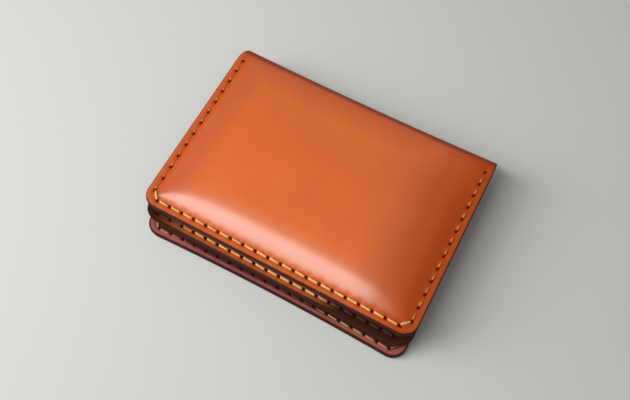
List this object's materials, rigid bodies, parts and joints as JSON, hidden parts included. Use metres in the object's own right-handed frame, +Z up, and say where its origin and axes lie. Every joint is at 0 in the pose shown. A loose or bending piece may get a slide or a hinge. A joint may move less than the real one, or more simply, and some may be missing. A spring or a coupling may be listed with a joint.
{
  "type": "leather card wallet",
  "caption": "Closed folding card wallet: a crowned top leaf and a base leaf joined by a round fold, a V-gusseted pocket on the base and a flat card pocket under the top leaf.",
  "frame": {"origin": "middle of the closed wallet's footprint, on the surface it lies on", "axes": "+X along the fold, +Y towards the fold, +Z up"},
  "size_m": [0.1068, 0.0804, 0.0192],
  "materials": {
    "cover_leather": "glossy, smooth",
    "pocket_leather": "satin, smooth",
    "gusset_leather": "satin, smooth",
    "lining_leather": "matt, fine",
    "filler_leather": "raw, skived",
    "waxed_thread": "waxed, twisted"
  },
  "bodies": {
    "base_leaf": {"outer_cover_base": "cover_leather", "lining_base": "lining_leather", "gusset": "gusset_leather", "lower_seam_thread": "waxed_thread"},
    "pocket_front": {"pocket_face": "pocket_leather", "middle_seam_thread": "waxed_thread"},
    "spine": {"outer_cover_spine": "cover_leather", "lining_spine": "lining_leather"},
    "top_leaf": {"outer_cover_top": "cover_leather", "crown_filler": "filler_leather", "lining_top": "lining_leather", "card_pocket": "pocket_leather", "upper_seam_thread": "waxed_thread"}
  },
  "joints": [
    {"name": "spine_lower", "type": "hinge", "parent": "base_leaf", "child": "spine", "pos_m": [0, 0.03841, 0.00178], "axis": [-1, 0, 0], "range_deg": [0, 88]},
    {"name": "spine_upper", "type": "hinge", "parent": "spine", "child": "top_leaf", "pos_m": [0, 0.03841, 0.01477], "axis": [-1, 0, 0], "range_deg": [0, 88]},
    {"name": "pocket_slide", "type": "slide", "parent": "base_leaf", "child": "pocket_front", "axis": [0, 0, 1], "range_m": [-0.0028, 0.0015], "deforming": ["gusset"]}
  ],
  "couplings": [
    {"joint": "spine_upper", "follows": "spine_lower", "ratio": 1}
  ]
}
